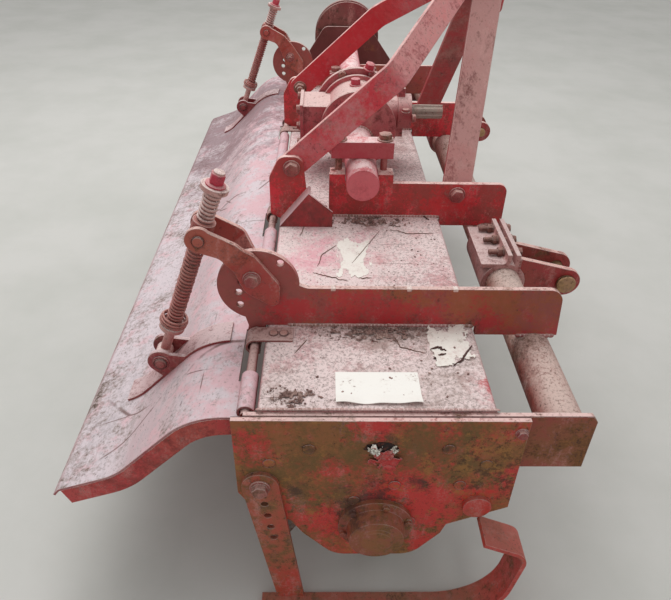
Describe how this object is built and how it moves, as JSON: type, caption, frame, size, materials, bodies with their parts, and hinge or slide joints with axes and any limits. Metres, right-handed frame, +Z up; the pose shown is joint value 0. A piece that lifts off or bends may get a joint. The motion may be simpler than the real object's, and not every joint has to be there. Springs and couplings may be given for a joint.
{
  "type": "rotary tiller",
  "caption": "Tractor-carried rotary tiller with a tined rotor under a flat deck, side drive case, gearbox under an A-shaped mast, spring-held rear shield and two skids.",
  "frame": {"origin": "on the floor, midway between the rear shield's tail and the hitch noses, midway between the outermost faces of the bearing hub and the side drive", "axes": "+X forward to the tractor, +Y to the machine's left, where the side drive is, +Z up"},
  "size_m": [1.006, 1.972, 1.022],
  "materials": {
    "deck_paint": "sun-faded pink-red paint under grey dust",
    "frame_paint": "faded red paint, dusty, worn at the edges",
    "end_paint": "red paint gone brown with rust and dried mud",
    "shield_paint": "faded red paint worn to grey",
    "cast_paint": "dusty painted casting",
    "spring_paint": "red paint and rust",
    "worn_steel": "earth-worn steel with light rust",
    "bright_steel": "greased machined steel"
  },
  "bodies": {
    "frame": {"arms_far": "frame_paint", "arms_near": "frame_paint", "bearing_hub": "end_paint", "brace_far": "frame_paint", "brace_near": "frame_paint", "cross_tube_far": "cast_paint", "cross_tube_near": "cast_paint", "deck": "deck_paint", "end_plate_far": "end_paint", "end_plate_near": "end_paint", "front_tube": "frame_paint", "gearbox": "cast_paint", "hinge_rod": "frame_paint", "hinge_straps": "frame_paint", "hitch_lugs_far": "frame_paint", "hitch_lugs_near": "frame_paint", "hitch_yoke_far": "frame_paint", "hitch_yoke_near": "frame_paint", "input_cap": "cast_paint", "mast_foot_far": "frame_paint", "mast_foot_near": "frame_paint", "rear_stay_far": "frame_paint", "rear_stay_near": "frame_paint", "side_drive_case": "end_paint", "side_drive_cover": "end_paint", "side_frame_far": "end_paint", "side_frame_near": "end_paint", "skid_far": "end_paint", "skid_near": "end_paint", "skid_strut_far": "end_paint", "skid_strut_near": "end_paint", "stay_bracket_far": "frame_paint", "stay_bracket_near": "frame_paint", "top_link_head": "frame_paint", "tube_clamp_far": "cast_paint", "tube_clamp_near": "cast_paint", "upright_far": "frame_paint", "upright_near": "frame_paint"},
    "rotor": {"rotor_shaft": "worn_steel", "tine_flanges": "worn_steel"},
    "input_drive": {"input_shaft": "bright_steel"},
    "shield": {"rear_shield": "shield_paint", "rod_foot_far": "shield_paint", "rod_foot_near": "shield_paint", "shield_rims": "shield_paint"},
    "rod_near": {"spring_rod_near": "spring_paint", "low_spring_near": "spring_paint"},
    "swivel_near": {"swivel_near": "spring_paint", "top_spring_near": "spring_paint"},
    "rod_far": {"spring_rod_far": "spring_paint", "low_spring_far": "spring_paint"},
    "swivel_far": {"swivel_far": "spring_paint", "top_spring_far": "spring_paint"}
  },
  "joints": [
    {"name": "rotor_spin", "type": "hinge", "parent": "frame", "child": "rotor", "pos_m": [0.04599, 0, 0.232], "axis": [0, 1, 0], "continuous": true},
    {"name": "input_spin", "type": "hinge", "parent": "frame", "child": "input_drive", "pos_m": [0.17399, 0, 0.634], "axis": [1, 0, 0], "continuous": true},
    {"name": "shield_hinge", "type": "hinge", "parent": "frame", "child": "shield", "pos_m": [-0.16401, 0, 0.472], "axis": [0, 1, 0], "range_deg": [0, 20]},
    {"name": "rod_eye_near", "type": "hinge", "parent": "shield", "child": "rod_near", "pos_m": [-0.33901, -0.697, 0.414], "axis": [0, 1, 0], "range_deg": [-12.45, 0.5], "deforming": ["low_spring_near"]},
    {"name": "swivel_turn_near", "type": "hinge", "parent": "frame", "child": "swivel_near", "pos_m": [-0.24301, -0.697, 0.671], "axis": [0, 1, 0], "range_deg": [-0.5, 8.55]},
    {"name": "rod_eye_far", "type": "hinge", "parent": "shield", "child": "rod_far", "pos_m": [-0.33901, 0.697, 0.414], "axis": [0, 1, 0], "range_deg": [-12.45, 0.5], "deforming": ["low_spring_far"]},
    {"name": "swivel_turn_far", "type": "hinge", "parent": "frame", "child": "swivel_far", "pos_m": [-0.24301, 0.697, 0.671], "axis": [0, 1, 0], "range_deg": [-0.5, 8.55]}
  ],
  "couplings": [
    {"joint": "input_spin", "follows": "rotor_spin", "ratio": 2.5714},
    {"joint": "rod_eye_near", "follows": "shield_hinge", "ratio": -0.5975},
    {"joint": "swivel_turn_near", "follows": "shield_hinge", "ratio": 0.4025},
    {"joint": "rod_eye_far", "follows": "shield_hinge", "ratio": -0.5975},
    {"joint": "swivel_turn_far", "follows": "shield_hinge", "ratio": 0.4025}
  ]
}
